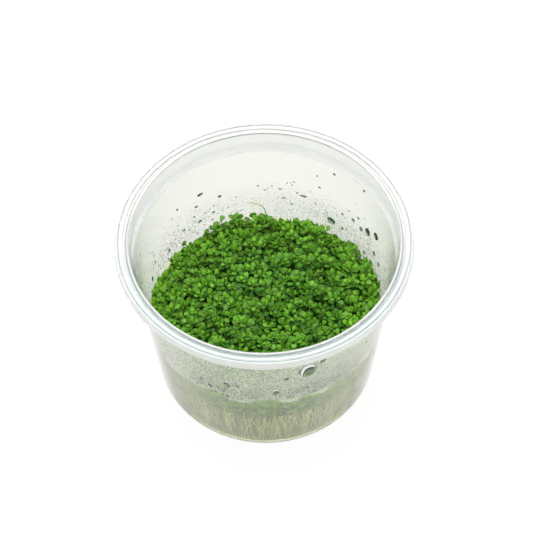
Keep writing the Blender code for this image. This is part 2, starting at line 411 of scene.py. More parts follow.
class CupProperties(bpy.types.PropertyGroup):
    wall: length_prop("Wall", "Thickness of the moulded wall", 0.0007, 0.0003)
    floor: length_prop("Floor", "Thickness of the cup's floor", 0.0012, 0.0005)
    colour: colour_prop("Plastic", "Colour of the milky plastic", (0.945, 0.96, 0.89))
    clearness: share_prop("Clearness", "Share of light that goes through the wall", 0.965)
    rim_colour: colour_prop("Rim plastic", "White of the thick rim", (0.90, 0.915, 0.90))
    # A cool painted reflection in the front grooves
    groove_reflection_colour: colour_prop("Grooves", "Cool tone of the rim's grooves", (0.70, 0.79, 0.87))
    rim_clearness: share_prop("Rim clearness", "Share of light that goes through the rim", 0.75)
    fog: share_prop("Fog", "Clearness lost where fine mist sits on the wall", 0.84)
    haze_colour: colour_prop("Haze", "Warm haze on the back wall", (0.90, 0.905, 0.865))
    mist_colour: colour_prop("Mist", "Tone of the mist on the front wall", (0.96, 1.0, 0.86))
    film: share_prop("Film", "Clearness lost where plants and gel touch the wall", 0.11)
    # The film's green is painted light, standing in for light scattered from the plants and gel behind the wall
    film_painted_green: colour_prop("Film colour", "Green film below the mat's top", (0.87, 0.95, 0.38))


class GelProperties(bpy.types.PropertyGroup):
    top: length_prop("Top", "Height of the gel's surface", 0.0225)
    side_gap: length_prop("Side gap", "Room for the roots between the gel and the wall", 0.0005)
    tint: colour_prop("Tint", "Colour that light takes in the gel", (0.78, 0.87, 0.42))
    colour: colour_prop("Cloud", "Colour of the gel's faint cloudiness", (0.33, 0.38, 0.08))
    clearness: share_prop("Clearness", "Share of light that goes through", 0.50)
    depth: FloatProperty(
        name="Depth", description="How strongly the gel takes up light, per metre", default=20.0, min=0.0
    )


class PlantProperties(bpy.types.PropertyGroup):
    shoots: count_prop("Shoots", "Leaf rosettes in the mat", 400, 1)
    low_shoots: count_prop("Low shoots", "Older shoots under the mat", 190)
    edge_shoots: count_prop("Edge shoots", "Shoots pressed against the wall", 200)
    mat_top: length_prop("Mat top", "Height of the shoot tips", 0.0316)
    roots: count_prop("Roots", "Root strands under each plant", 16, 1)
    wall_leaves: count_prop("Wall leaves", "Leaves flat against the wall", 240)
    wall_stems: count_prop("Wall stems", "Stems seen along the wall", 110)
    wall_roots: count_prop("Wall roots", "Root strands of each outer plant along the wall", 38)
    old_leaf: colour_prop("Old leaf", "Colour of grown leaves", (0.028, 0.178, 0.003))
    young_leaf: colour_prop("Young leaf", "Colour of the youngest leaves", (0.21, 0.52, 0.025))
    # Pale colour of the midribs, which also paints the highlight along the leaf edges
    pale_midrib_and_edge_highlight: colour_prop("Leaf edge", "Colour of leaf edges and midribs", (0.25, 0.50, 0.10))
    root: colour_prop("Root", "Colour of the roots", (0.92, 0.93, 0.84))
    seed: count_prop("Seed", "Another number grows another mat", 7)


class DropProperties(bpy.types.PropertyGroup):
    height: share_prop("Drop height", "Height of a drop as a share of its width", 0.25)
    front_height: share_prop("Front drop height", "The same for the drops on the front", 0.09)
    # Tints on the clear water of the drops: painted shade, with the painted green of the mat seen through them
    shade: colour_prop("Shade", "Green that the mat lends the drops", (0.38, 0.52, 0.38))
    front_shade: colour_prop("Front shade", "The same in the front drops", (0.60, 0.68, 0.58))
    mist_size: length_prop("Mist size", "Largest radius of a mist droplet", 0.00042)
    seed: count_prop("Seed", "Another number scatters another mist", 3)


class StageProperties(bpy.types.PropertyGroup):
    sky: FloatProperty(name="Sky", description="Strength of the white surroundings", default=0.92)
    key: FloatProperty(name="Key", description="Power of the large soft light in watts", default=5.0)
    table: FloatProperty(name="Table", description="Glow of the white floor", default=0.92)
    elevation: FloatProperty(
        name="Elevation", description="How steeply the camera looks down", default=0.954, subtype="ANGLE"
    )
    distance: length_prop("Distance", "From the camera to the point it looks at", 0.6)
    roll: FloatProperty(
        name="Roll", description="Turn of the camera about its own line", default=-0.0193, subtype="ANGLE"
    )


def deselect():
    if bpy.context.mode != "OBJECT":
        bpy.ops.object.mode_set(mode="OBJECT")
    bpy.ops.object.select_all(action="DESELECT")


def pick(obj, test):
    """In edit mode, select the vertices whose place passes the test."""
    bpy.ops.mesh.select_all(action="DESELECT")
    bpy.ops.object.mode_set(mode="OBJECT")
    for vert in obj.data.vertices:
        vert.select = test(vert.co)
    bpy.ops.object.mode_set(mode="EDIT")


def settle(obj):
    """Leave edit mode, put the object's place into its mesh and shade it smooth."""
    deselect()
    bpy.context.view_layer.objects.active = obj
    obj.select_set(True)
    bpy.ops.object.transform_apply(location=True, rotation=True, scale=True)
    bpy.ops.object.shade_smooth()
    return obj


def wall_radius(height):
    """Outer radius of the wall between the base and the shoulder."""
    return BASE_RADIUS + WALL_SLOPE * height


def inner_radius(height):
    """Inner radius of the wall there."""
    return wall_radius(height) - bpy.context.scene.cup.wall


def arc(radius, floor, fillet, steps):
    """The round between a flat floor and the wall, from the floor outwards and up."""
    turns = (math.radians(-90 + FILLET_TURN * i / steps) for i in range(steps + 1))
    return [(radius - fillet + fillet * math.cos(a), floor + fillet + fillet * math.sin(a)) for a in turns]


def rounded(points, reach, steps):
    """The same line with each inner corner drawn as a short curve."""
    line = [tuple(points[0])]
    for before, corner, after in zip(points, points[1:], points[2:]):
        corner = Vector(corner)
        back = Vector(before) - corner
        ahead = Vector(after) - corner
        start = corner + back.normalized() * min(reach, CORNER_SHARE * back.length)
        end = corner + ahead.normalized() * min(reach, CORNER_SHARE * ahead.length)
        for i in range(steps + 1):
            t = i / steps
            line.append(tuple((1 - t) ** 2 * start + 2 * t * (1 - t) * corner + t * t * end))
    line.append(tuple(points[-1]))
    return line


def spun(name, profile, sides):
    """Draw a profile point by point beside the axis, spin it once round and close its seam and poles."""
    deselect()
    bpy.ops.mesh.primitive_plane_add(size=0.001, location=(0, 0, 0))
    obj = bpy.context.object
    obj.name = name
    bpy.ops.object.mode_set(mode="EDIT")
    bpy.ops.mesh.merge(type="CENTER")
    bpy.ops.transform.translate(value=(profile[0][0], 0, profile[0][1]))
    for a, b in zip(profile, profile[1:]):
        step = (b[0] - a[0], 0, b[1] - a[1])
        bpy.ops.mesh.extrude_region_move(TRANSFORM_OT_translate={"value": step})
    bpy.ops.mesh.select_all(action="SELECT")
    bpy.ops.mesh.spin(steps=sides, angle=2 * math.pi, center=(0, 0, 0), axis=(0, 0, 1))
    bpy.ops.mesh.select_all(action="SELECT")
    bpy.ops.mesh.remove_doubles(threshold=1e-6)
    bpy.ops.mesh.normals_make_consistent(inside=False)
    return settle(obj)


def feed(tree, socket, value):
    """Link a socket to an input, or set a plain number or colour on it."""
    if isinstance(value, bpy.types.NodeSocket):
        tree.links.new(value, socket)
    elif socket.type == "RGBA":
        socket.default_value = (*value, 1.0)
    else:
        socket.default_value = value


def material(name, roughness, ior=1.45, transmission=0.0, colour=(0.8, 0.8, 0.8), specular=0.5, shine=1.0):
    """A principled material, with the values that are the same all over set on its own sockets."""
    made = bpy.data.materials.new(name)
    made.use_nodes = True
    shader = made.node_tree.nodes["Principled BSDF"]
    shader.inputs["Base Color"].default_value = (*colour, 1.0)
    shader.inputs["Roughness"].default_value = roughness
    shader.inputs["IOR"].default_value = ior
    shader.inputs["Transmission Weight"].default_value = transmission
    shader.inputs["Specular IOR Level"].default_value = specular
    shader.inputs["Specular Tint"].default_value = (shine, shine, shine, 1.0)
    return made, made.node_tree, shader


def node(tree, kind, **values):
    """A node with its settings, and with sockets or plain values on the inputs of the same name."""
    made = tree.nodes.new(kind)
    for key, value in values.items():
        if key in made.inputs:
            feed(tree, made.inputs[key], value)
        else:
            setattr(made, key, value)
    return made


def object_place(tree):
    """A socket with a point's place on the object."""
    return node(tree, "ShaderNodeTexCoord").outputs["Object"]


def noise(tree, scale, detail=2.0):
    """A noise pattern fixed to the object, with a scale per metre."""
    return node(tree, "ShaderNodeTexNoise", Scale=scale, Detail=detail, Vector=object_place(tree)).outputs["Fac"]


def fit(tree, value, low, high, to_low, to_high):
    """A value moved from one range to another, and held inside it."""
    made = node(tree, "ShaderNodeMapRange", Value=value)
    for socket, number in zip(("From Min", "From Max", "To Min", "To Max"), (low, high, to_low, to_high)):
        made.inputs[socket].default_value = number
    return made.outputs["Result"]


def varied(tree, scale, detail, low, high, spread=0.2):
    """A value that wanders between two others over the object, in sharper patches when its spread is small."""
    return fit(tree, noise(tree, scale, detail), 0.5 - spread, 0.5 + spread, low, high)


def reckon(tree, operation, *values):
    """A math node on sockets or plain numbers."""
    made = node(tree, "ShaderNodeMath", operation=operation)
    for socket, value in zip(made.inputs, values):
        feed(tree, socket, value)
    return made.outputs["Value"]


def total(tree, *values):
    return functools.reduce(lambda sofar, value: reckon(tree, "ADD", sofar, value), values)


def times(tree, *values):
    return functools.reduce(lambda sofar, value: reckon(tree, "MULTIPLY", sofar, value), values)


def less(tree, value, loss):
    return reckon(tree, "SUBTRACT", value, loss)


def near(tree, value, middle, within, beyond):
    """One where a value is close to the middle, and nothing further off."""
    return fit(tree, reckon(tree, "ABSOLUTE", less(tree, value, middle)), within, beyond, 1.0, 0.0)


def mix_colours(tree, share, first, second):
    made = node(tree, "ShaderNodeMix", data_type="RGBA")
    for socket, value in ((0, share), (6, first), (7, second)):
        feed(tree, made.inputs[socket], value)
    return made.outputs[2]


def bump(tree, shader, height, strength, depth):
    """Fine relief on a material, from a socket with its height."""
    made = node(tree, "ShaderNodeBump", Strength=strength, Distance=depth, Height=height)
    tree.links.new(made.outputs["Normal"], shader.inputs["Normal"])


def place_axes(tree):
    """Sockets with a point's place on the object, axis by axis."""
    axes = node(tree, "ShaderNodeSeparateXYZ", Vector=object_place(tree))
    return axes.outputs["X"], axes.outputs["Y"], axes.outputs["Z"]


def axis_distance(tree):
    """A socket with a point's distance from the cup's axis."""
    x, y, _ = place_axes(tree)
    flat = node(tree, "ShaderNodeCombineXYZ", X=x, Y=y)
    return node(tree, "ShaderNodeVectorMath", operation="LENGTH", Vector=flat.outputs["Vector"]).outputs["Value"]


def distance_to(tree, place, middle):
    """A socket with the distance of a place from a fixed middle."""
    made = node(tree, "ShaderNodeVectorMath", operation="DISTANCE", Vector=place)
    made.inputs[1].default_value = middle
    return made.outputs["Value"]


def plastic_material(cup):
    """Polypropylene: clear and glossy on the wall, milky and cool white in the thick rim, with a cool painted
    reflection in the front grooves and whiter plastic on the rim's top that is partly a painted highlight.
    """
    made, tree, shader = material("milky_polypropylene", 0.05, PLASTIC_IOR, cup.clearness, cup.colour, shine=0.3)
    _, depth, height = place_axes(tree)
    away = axis_distance(tree)
    # The whiter, milkier plastic on the rim's top is partly milky plastic and partly a painted highlight
    crest_highlight = fit(tree, height, *CREST, 0.0, CREST_HIGHLIGHT_LOSS)
    skirt = fit(tree, away, *SKIRT, 0.0, SKIRT_LOSS)
    milky = fit(tree, height, *MILKY, 0.0, cup.clearness - cup.rim_clearness)
    tree.links.new(less(tree, cup.clearness, total(tree, milky, crest_highlight, skirt)), shader.inputs["Transmission Weight"])
    thick = fit(tree, height, *MILKY, 0.0, 1.0)
    plastic = mix_colours(tree, thick, cup.colour, cup.rim_colour)
    grooves = total(tree, *[near(tree, away, *groove) for groove in GROOVES])
    # Painted reflection: the grooves take a cool tone at the front only
    cool = times(tree, thick, grooves, fit(tree, depth, *GROOVE_DEPTH, 1.0, 0.0))
    tree.links.new(mix_colours(tree, cool, plastic, cup.groove_reflection_colour), shader.inputs["Base Color"])
    tree.links.new(varied(tree, 90.0, 3.0, 0.03, 0.07), shader.inputs["Roughness"])
    shader.inputs["Subsurface Weight"].default_value = 1.0
    shader.inputs["Subsurface Radius"].default_value = (1.0, 1.0, 1.0)
    shader.inputs["Subsurface Scale"].default_value = RIM_SCATTER
    return made


def clear_under(tree, place, drop):
    """Nothing where a drop has swept the mist off the wall, and one elsewhere."""
    angle, height, width, length = drop
    middle = on_wall(math.radians(angle), height, 0.0).translation
    reach = (3 * width + length) / 8
    return fit(tree, distance_to(tree, place, middle), 0.95 * reach, 1.2 * reach, 0.0, 1.0)


def misted_material(cup, mat_top):
    """The wall's inside: fine mist above the mat, thickest at the front, and a film where the plants touch it, whose
    green is painted light scattered from the plants.
    """
    made, tree, shader = material("misted_polypropylene", 0.02, PLASTIC_IOR, 1.0, cup.colour, shine=0.0)
    side, depth, height = place_axes(tree)
    ragged = varied(tree, 130.0, 3.0, -EDGE_RAGGED, EDGE_RAGGED)
    above = less(tree, height, total(tree, fit(tree, depth, *EDGE_DEPTH, *EDGE_SHIFT), ragged))
    foot = fit(tree, above, *(mat_top + shift for shift in MIST_FOOT), 0.0, 1.0)
    front = fit(tree, depth, *FRONT_MIST_DEPTH, 1.0, 0.0)
    front = times(tree, front, fit(tree, height, *FRONT_MIST_HEIGHT, 1.0, 0.5))
    back = fit(tree, depth, *BACK_MIST_DEPTH, 0.0, BACK_MIST)
    back = times(tree, back, fit(tree, height, *BACK_MIST_HEIGHT, 1.0, 0.0))
    patchy = varied(tree, 120.0, 4.0, 0.75, 1.1, 0.15)
    place = object_place(tree)
    swept = [clear_under(tree, place, drop) for drop in FRONT_DROPS]
    bright = fit(tree, side, *BRIGHT_SIDE, 1.0, 2.2)
    mist = times(tree, total(tree, front, back), foot, patchy, bright, *swept)
    beads = node(tree, "ShaderNodeTexVoronoi", Scale=1500.0, Vector=place)
    bead = fit(tree, beads.outputs["Distance"], 0.36, 0.64, 0.45, 1.55)
    touched = fit(tree, above, *(mat_top + shift for shift in FILM_TOP), 1.0, 0.0)
    smeared = varied(tree, 240.0, 3.0, 0.4, 1.3, 0.15)
    denser = fit(tree, reckon(tree, "ABSOLUTE", side), *DENSE_SIDE, 1.0, 3.0)
    lost = total(tree, times(tree, mist, bead, cup.fog), times(tree, touched, smeared, denser, cup.film))
    tree.links.new(less(tree, 0.99, lost), shader.inputs["Transmission Weight"])
    wall = mix_colours(tree, fit(tree, depth, *HAZE_DEPTH, 0.0, 1.0), cup.mist_colour, cup.haze_colour)
    # Below the mat's top the wall takes the film's green: painted light from the plants behind it
    tree.links.new(mix_colours(tree, touched, wall, cup.film_painted_green), shader.inputs["Base Color"])
    tree.links.new(fit(tree, mist, 0.0, 1.0, 0.01, 0.04), shader.inputs["Roughness"])
    return made


def gel_material(gel):
    """Gel that takes up light in its depth and is faintly cloudy."""
    made, tree, shader = material("cloudy_gel", 0.12, GEL_IOR, gel.clearness, gel.colour, shine=0.0)
    uptake = node(tree, "ShaderNodeVolumeAbsorption", Color=gel.tint, Density=gel.depth)
    tree.links.new(uptake.outputs["Volume"], tree.nodes["Material Output"].inputs["Volume"])
    darker = tuple(0.6 * value for value in gel.colour)
    cloud = mix_colours(tree, varied(tree, 160.0, 4.0, 0.0, 1.0), darker, gel.colour)
    tree.links.new(cloud, shader.inputs["Base Color"])
    bump(tree, shader, noise(tree, 220.0), 0.05, 0.0004)
    return made


def leaf_material(plants):
    """Leaf green that pales with youth, with a light midrib, a painted highlight along the blade's rim, a fine
    mottle and each leaf's own tone.
    """
    made, tree, shader = material("glossostigma_leaf", 0.40, specular=0.42)
    tint = node(tree, "ShaderNodeAttribute", attribute_name="tint")
    parts = node(tree, "ShaderNodeSeparateColor", Color=tint.outputs["Color"])
    green = mix_colours(tree, parts.outputs["Green"], plants.old_leaf, plants.young_leaf)
    own_tone = fit(tree, parts.outputs["Red"], 0.0, 1.0, 0.6, 1.4)
    tone = times(tree, varied(tree, 1400.0, 3.0, 0.82, 1.18), own_tone)
    toned = node(tree, "ShaderNodeVectorMath", operation="SCALE", Vector=green, Scale=tone)
    blade = node(tree, "ShaderNodeUVMap", uv_map="blade").outputs["UV"]
    across = node(tree, "ShaderNodeSeparateXYZ", Vector=blade)
    from_rib = reckon(tree, "ABSOLUTE", less(tree, across.outputs["X"], 0.5))
    rib = fit(tree, from_rib, 0.0, 0.07, 0.30, 0.0)
    from_middle = distance_to(tree, blade, (0.5, LEAF_STALK / LEAF_LENGTH, 0.0))
    # Painted highlight: the blade turns paler towards its rim, where the edges catch the light
    edge = fit(tree, from_middle, 0.70 / LEAF_LENGTH, 1.0 / LEAF_LENGTH, 0.0, 0.5)
    light = reckon(tree, "MAXIMUM", rib, edge)
    veined = mix_colours(tree, light, toned.outputs["Vector"], plants.pale_midrib_and_edge_highlight)
    tree.links.new(veined, shader.inputs["Base Color"])
    bump(tree, shader, noise(tree, 2200.0), 0.15, 0.0001)
    return made


def mottled_material(name, roughness, scale, first, second):
    """One colour that shades into another in a fine soft pattern."""
    made, tree, shader = material(name, roughness)
    mottle = varied(tree, scale, 2.0, 0.0, 1.0)
    tree.links.new(mix_colours(tree, mottle, first, second), shader.inputs["Base Color"])
    return made


def open_ball(name, segments, rings):
    """A ball a unit in radius, open in edit mode."""
    deselect()
    bpy.ops.mesh.primitive_uv_sphere_add(segments=segments, ring_count=rings, radius=1.0)
    ball = bpy.context.object
    ball.name = name
    bpy.ops.object.mode_set(mode="EDIT")
    return ball


def dressed(model, look):
    """Give a model its material, its map over the blade and a tone, which all pieces of a plant share."""
    model.data.materials.clear()
    model.data.materials.append(look)
    if not model.data.uv_layers:
        model.data.uv_layers.new(name="blade")
    model.data.uv_layers[0].name = "blade"
    add_tint(model.data)
    return model


def add_tint(mesh, tone=0.5, youth=0.5):
    """One value over the whole mesh, so that each copied leaf keeps its own tone when it is joined."""
    tint = mesh.attributes.get("tint") or mesh.attributes.new("tint", "FLOAT_COLOR", "POINT")
    values = np.tile(np.array((tone, youth, 0.0, 1.0), np.float32), len(mesh.vertices))
    tint.data.foreach_set("color", values)


def moved_copy(source, place):
    mesh = source.data.copy()
    mesh.transform(place)
    made = bpy.data.objects.new(source.name, mesh)
    bpy.context.scene.collection.objects.link(made)
    return made


def copy_of(source, place, tone=0.5, youth=0.5):
    """A copy with its own mesh, put in its place and given its tone."""
    made = moved_copy(source, place)
    add_tint(made.data, tone, youth)
    return made


def joined(name, pieces):
    deselect()
    for piece in pieces:
        piece.select_set(True)
    bpy.context.view_layer.objects.active = pieces[0]
    bpy.ops.object.join()
    made = bpy.context.object
    made.name = name
    made.data.name = name
    return made


def gathered(name, copy, recipes):
    """Copies made from their recipes and joined, a few hundred at a time because that is much faster."""
    starts = range(0, len(recipes), BATCH)
    batches = [joined(name, [copy(*step) for step in recipes[i : i + BATCH]]) for i in starts]
    return joined(name, batches) if len(batches) > 1 else batches[0]


def model_leaf(name, lift, droop, look):
    """One spoon-shaped leaf, a unit long, that grows from the origin along +Y with its face up."""
    leaf = open_ball(name, LEAF_SEGMENTS, 4)
    bpy.ops.transform.resize(value=(1.0, 1.0, LEAF_THICKNESS))
    for degrees, reach in LEAF_OUTLINE:
        pick(leaf, lambda co: co.xy.length > 0.1 and abs(math.degrees(math.atan2(abs(co.x), co.y)) - degrees) < 5)
        bpy.ops.transform.resize(value=(reach, reach, 1.0), center_override=(0, 0, 0))
    moves = (
        (lambda co: co.xy.length > 0.8, 0.6 * lift),
        (lambda co: co.xy.length > 0.5, 0.4 * lift),
        (lambda co: co.y > 0.6, -droop),
        (lambda co: co.y < -LEAF_STALK + 0.1, -0.8 * lift),
    )
    for test, rise in moves:
        pick(leaf, test)
        bpy.ops.transform.translate(value=(0, 0, rise))
    bpy.ops.mesh.select_all(action="SELECT")
    bpy.ops.transform.translate(value=(0, LEAF_STALK, 0))
    size = 1 / LEAF_LENGTH
    bpy.ops.transform.resize(value=(size, size, size), center_override=(0, 0, 0))
    dressed(settle(leaf), look)
    blade = leaf.data.uv_layers[0]
    for loop in leaf.data.loops:
        co = leaf.data.vertices[loop.vertex_index].co
        blade.data[loop.index].uv = (0.5 + co.x, co.y)
    return leaf


def model_strand(name, knots, radii, look, fineness=0):
    """A thin tapered strand drawn as a curve through its knots and turned into mesh."""
    deselect()
    bpy.ops.curve.primitive_bezier_curve_add()
    strand = bpy.context.object
    strand.name = name
    curve = strand.data
    curve.bevel_depth = 1.0
    curve.bevel_resolution = fineness
    curve.resolution_u = 2 + 2 * fineness
    curve.use_fill_caps = True
    line = curve.splines[0]
    line.bezier_points.add(len(knots) - 2)
    for point, place, radius in zip(line.bezier_points, knots, radii):
        point.co = place
        point.radius = radius
        point.handle_left_type = "AUTO"
        point.handle_right_type = "AUTO"
    bpy.ops.object.convert(target="MESH")
    strand = bpy.context.object
    bpy.ops.object.mode_set(mode="EDIT")
    bpy.ops.mesh.select_all(action="SELECT")
    bpy.ops.mesh.remove_doubles(threshold=1e-7)
    bpy.ops.mesh.normals_make_consistent(inside=False)
    return dressed(settle(strand), look)


def between(start, end, thickness, turn=0.0):
    """Places a strand that is a unit long along +Z between two points."""
    line = end - start
    turned = line.to_track_quat("Z", "Y").to_matrix().to_4x4()
    size = Matrix.Diagonal((thickness, thickness, line.length, 1.0))
    return Matrix.Translation(start) @ turned @ Matrix.Rotation(turn, 4, "Z") @ size


def on_ring(turn, radius, height):
    return Vector((radius * math.cos(turn), radius * math.sin(turn), height))


def on_wall(angle, height, proud, outside=False):
    """The place on a side of the wall at an angle and a height, with local Z pointing off the wall."""
    out = Vector((math.cos(angle), math.sin(angle), 0.0))
    off = (Vector((0, 0, WALL_SLOPE)) - out).normalized() * (-1 if outside else 1)
    along = Vector((-out.y, out.x, 0.0))
    up = off.cross(along)
    radius = wall_radius(height) if outside else inner_radius(height)
    place = out * radius + Vector((0, 0, height)) + off * proud
    axes = Matrix((along, up, off)).transposed().to_4x4()
    return Matrix.Translation(place) @ axes


def plant_centres():
    centres = []
    for ring, (count, radius) in enumerate(PLANT_RINGS):
        for i in range(count):
            centres.append(on_ring(2 * math.pi * (i + RING_TURN * ring) / count, radius, 0.0))
    return centres


def mat_height(x, y, top):
    """Height of the shoot tips over a place, with the mat's own hummocks."""
    rise = sum(lift * math.exp(-((x - a) ** 2 + (y - b) ** 2) / reach**2) for a, b, lift, reach in HUMMOCKS)
    swell = 0.0006 * math.sin(330 * x + 1.0) * math.cos(290 * y)
    tufts = 0.0008 * math.sin(760 * x + 2.0 * math.sin(240 * y)) * math.sin(700 * y + 1.5 * math.sin(300 * x))
    return top + rise + swell + tufts


def edge_height(turn, top):
    """Height of the mat's edge against the wall, which is higher at the front."""
    x, y = EDGE_RADIUS * math.cos(turn), EDGE_RADIUS * math.sin(turn)
    return mat_height(x, y, top) + EDGE_RISE * max(0.0, -math.sin(turn))


def scatter(count, radius, jitter, rng):
    """Places spread evenly over a disc, each shaken a little."""
    golden = math.pi * (3 - math.sqrt(5))
    for i in range(count):
        away = radius * math.sqrt((i + 0.5) / count)
        angle = i * golden
        x = away * math.cos(angle) + rng.uniform(-jitter, jitter)
        y = away * math.sin(angle) + rng.uniform(-jitter, jitter)
        yield Vector((x, y, 0.0))


def held(value):
    """A share kept between nothing and one."""
    return min(1.0, max(0.0, value))


def leaning(rng, spread, place, outwards):
    """A shoot's lean: a random part, and one away from the cup's axis."""
    return Vector((rng.gauss(0, spread), rng.gauss(0, spread))) + Vector(place.xy) * outwards


def model_crown(look):
    """A low lumpy mound of old stems and leaves that a plant's shoots rise from, a unit in radius."""
    crown = open_ball("crown", 20, 8)
    bpy.ops.transform.resize(value=(1.0, 1.0, 0.16))
    bpy.ops.transform.vertex_random(offset=0.05, seed=4)
    return dressed(settle(crown), look)


def model_root(name, rng, look):
    """A slightly wavy root, a unit long."""
    wave = [rng.uniform(-ROOT_WAVE, ROOT_WAVE) for _ in range(10)]
    knots = [(wave[k], wave[k + 5], k / 5) for k in range(5)] + [(0, 0, 1)]
    return model_strand(name, knots, ROOT_RADII, look)


def keep_in_cup(obj, clearance, floor):
    """Press what would pass through the wall or the floor back against it."""
    count = len(obj.data.vertices)
    co = np.empty(count * 3)
    obj.data.vertices.foreach_get("co", co)
    co = co.reshape(-1, 3)
    away = np.hypot(co[:, 0], co[:, 1])
    room = inner_radius(co[:, 2]) - clearance
    shrink = np.minimum(1.0, room / np.maximum(away, 1e-9))
    co[:, 0] *= shrink
    co[:, 1] *= shrink
    co[:, 2] = np.maximum(co[:, 2], floor)
    obj.data.vertices.foreach_set("co", co.ravel())
    obj.data.update()


class Growth:
    """What grows on each plant of the mat, gathered as recipes for copies of a few models."""

    def __init__(self, plants, gel_top):
        self.plants = plants
        self.gel_top = gel_top
        self.rng = random.Random(plants.seed)
        self.centres = plant_centres()
        self.grown = [[] for _ in self.centres]
        green = leaf_material(plants)
        pale = mottled_material("pale_stem", 0.45, 900.0, *STEM_COLOURS)
        cream = mottled_material("cream_root", 0.5, 700.0, plants.root, PALE_ROOT)
        bare = mottled_material("bare_runner", 0.45, 900.0, *RUNNER_COLOURS)
        self.leaves = [model_leaf(name, lift, droop, green) for name, lift, droop in LEAF_FORMS]
        self.stem = model_strand("stem", STEM_KNOTS, STEM_RADII, pale)
        self.crown = model_crown(green)
        self.roots = [model_root(f"root_{i}", self.rng, cream) for i in range(ROOT_MODELS)]
        self.runner = model_strand("runner", RUNNER, RUNNER_RADII, bare, 2)

    def owner(self, place):
        """Number of the plant that stands nearest to a place."""
        flat = Vector((place[0], place[1], 0.0))
        return min(range(len(self.centres)), key=lambda i: (self.centres[i] - flat).length)

    def add(self, place, *recipe):
        """Give a model, its matrix, tone and youth to the plant that stands nearest to a place."""
        self.grown[self.owner(place)].append(recipe)

    def shoot(self, tip, lean, pairs, share, lift):
        """Crossed pairs of leaves down a stem, largest at the bottom and youngest at the tip."""
        rng = self.rng
        foot = self.centres[self.owner(tip)].lerp(tip, share)
        foot.z = self.gel_top + lift
        axis = Vector((lean.x, lean.y, 1.0)).normalized()
        upright = axis.to_track_quat("Z", "Y").to_matrix().to_4x4()
        turn = rng.uniform(0, 2 * math.pi)
        vigour = rng.uniform(*VIGOUR)
        outer = held((tip.xy.length - PALER_FROM) / PALER_OVER)
        shoot_tone = rng.gauss(SHOOT_TONE + 0.12 * outer, SHOOT_TONE_SPREAD)
        self.add(tip, self.stem, between(foot, tip - axis * STEM_INSET, STEM_WIDTH, turn))
        for i, (drop, length, rise, youth) in enumerate(pairs):
            joint = Matrix.Translation(tip - axis * drop * vigour) @ upright
            for side in (0, math.pi):
                heading = turn + side + i * math.pi / 2 + rng.gauss(0, TURN_SPREAD)
                tilt = math.radians(rise + rng.gauss(0, RISE_SPREAD))
                size = length * vigour * rng.uniform(*LEAF_SIZES)
                spread = joint @ Matrix.Rotation(heading, 4, "Z") @ Matrix.Rotation(tilt, 4, "X")
                spread = spread @ Matrix.Rotation(rng.gauss(0, ROLL_SPREAD), 4, "Y")
                spread = spread @ Matrix.Diagonal((size * rng.uniform(*LEAF_WIDTHS), size, size, 1.0))
                tone = held(shoot_tone + rng.gauss(0, LEAF_TONE_SPREAD))
                fresh = held(youth + 0.30 * outer + rng.gauss(0.02, 0.1))
                self.add(tip, rng.choice(self.leaves), spread, tone, fresh)

    def mat_shoots(self):
        """The rosettes of the mat's top, the sprigs at the back and the older shoots below."""
        rng, top = self.rng, self.plants.mat_top
        reach = inner_radius(top) - MAT_MARGIN
        for place in scatter(self.plants.shoots, reach, 0.0009, rng):
            tip = Vector((*place.xy, mat_height(place.x, place.y, top) + rng.gauss(0, 0.0015)))
            self.shoot(tip, leaning(rng, 0.18, tip, 4.0), LEAF_PAIRS, 0.7, FOOT_LIFT)
        for place in SPRIGS:
            self.shoot(Vector(place), Vector(place[:2]) * 3.0, SPRIG_PAIRS, 0.9, FOOT_LIFT)
        for place in scatter(self.plants.low_shoots, reach + 0.0005, 0.0015, rng):
            tip = Vector((*place.xy, self.gel_top + rng.uniform(0.0032, 0.0056)))
            self.shoot(tip, leaning(rng, 0.4, tip, 0.0), LEAF_PAIRS[2:5], 0.8, FOOT_LIFT / 2)

    def edge_shoots(self):
        """Shoots all round, pressed against the wall."""
        rng, count, top = self.rng, self.plants.edge_shoots, self.plants.mat_top
        for i in range(count):
            turn = 2 * math.pi * (i + rng.uniform(-0.4, 0.4)) / count
            height = rng.uniform(self.gel_top + 0.0030, edge_height(turn, top) - 0.0005)
            tip = on_ring(turn, inner_radius(height) - rng.uniform(0.0006, 0.0020), height)
            self.shoot(tip, leaning(rng, 0.35, tip, 6.0), EDGE_PAIRS, 0.8, FOOT_LIFT)

    def wall_leaf(self, turn, height, size, youth):
        """A leaf that lies flat against the wall."""
        rng = self.rng
        seat = on_wall(turn, height, rng.uniform(0.0003, 0.0006))
        place = seat @ Matrix.Rotation(rng.uniform(0, SPIN), 4, "Z") @ Matrix.Rotation(math.pi, 4, "Y")
        leaf = rng.choice(self.leaves)
        self.add(seat.translation, leaf, place @ Matrix.Scale(size, 4), rng.uniform(0.2, 1.0), youth)

    def wall_leaves(self):
        rng = self.rng
        for turn, height, size in BRIGHT_LEAVES:
            self.wall_leaf(math.radians(turn), height, size, 1.0)
        for _ in range(self.plants.wall_leaves):
            turn = rng.uniform(-math.pi, math.pi)
            edge = edge_height(turn, self.plants.mat_top)
            height = rng.triangular(self.gel_top + 0.0005, edge, edge - 0.0020)
            size = rng.uniform(0.0024, 0.0042)
            self.wall_leaf(turn, height, size, held(rng.gauss(0.70, 0.35)))

    def wall_stems(self):
        """Bare stems that creep along the wall."""
        rng = self.rng
        for _ in range(self.plants.wall_stems):
            turn = rng.uniform(-math.pi, math.pi)
            highest = edge_height(turn, self.plants.mat_top) - 0.0020
            height = rng.uniform(self.gel_top - 0.0005, highest)
            start = on_wall(turn, height, rng.uniform(0.0003, 0.0009)).translation
            rise = min(rng.uniform(-0.0015, 0.0060), highest - height)
            end = on_wall(turn + rng.gauss(0, 0.09), height + rise, rng.uniform(0.0003, 0.0009)).translation
            self.add(start, self.stem, between(start, end, WALL_STEM_WIDTH))

